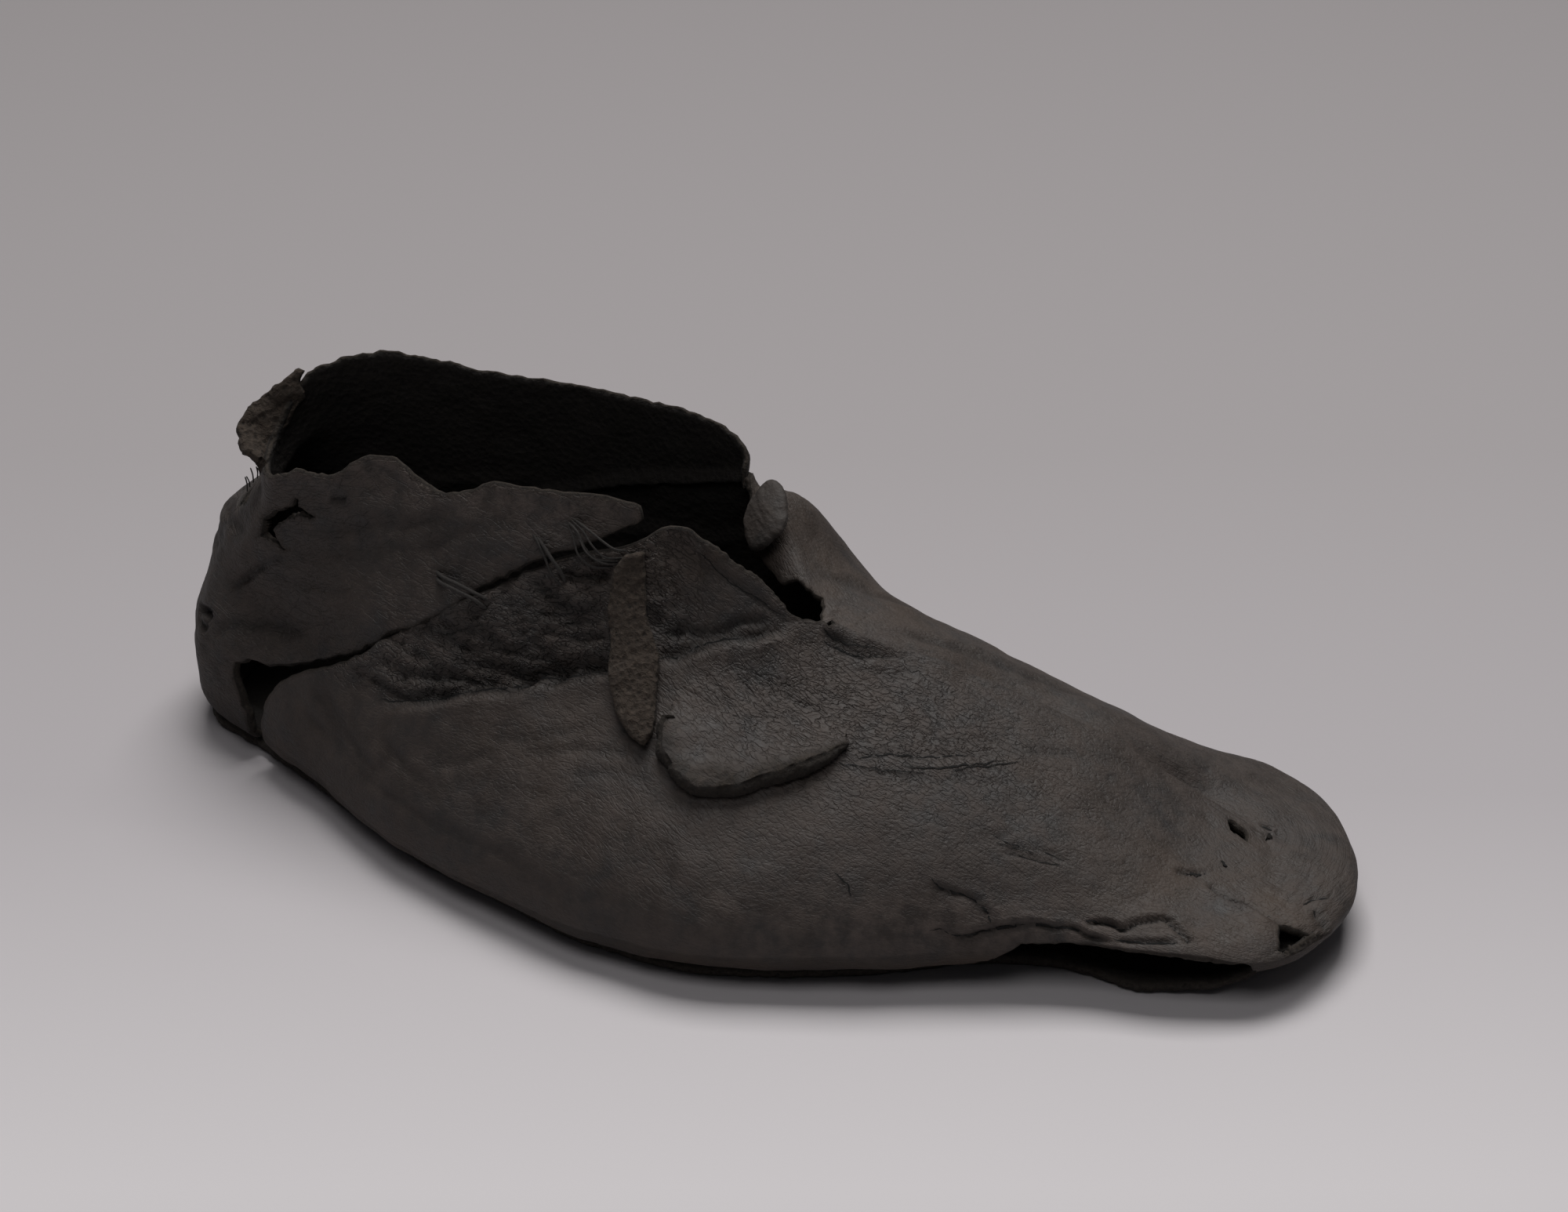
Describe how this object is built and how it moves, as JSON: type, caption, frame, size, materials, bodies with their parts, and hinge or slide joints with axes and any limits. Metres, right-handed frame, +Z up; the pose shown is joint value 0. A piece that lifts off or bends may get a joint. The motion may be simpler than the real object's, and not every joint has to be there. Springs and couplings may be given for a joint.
{
  "type": "soft leather ankle shoe",
  "caption": "Low soft leather ankle shoe for the right foot, old, torn and dried out, with a flat sole, open seams, an instep tab and a tie thong.",
  "frame": {"origin": "middle of the heel's tread, on the floor", "axes": "+X from the heel to the toe, +Z up, -Y the outer side of the foot"},
  "size_m": [0.2296, 0.0939, 0.0696],
  "materials": {
    "upper_leather": "very dark grey-brown dry leather with fine grain and wrinkles",
    "sole_leather": "dark brown rough dry leather",
    "rough_leather": "brown-grey flesh side, rough like suede"
  },
  "bodies": {
    "root": {"sole": "sole_leather", "vamp": "upper_leather", "back_quarter": "upper_leather", "instep_tab": "upper_leather", "tie_thong": "rough_leather", "far_tie": "rough_leather"}
  },
  "joints": []
}
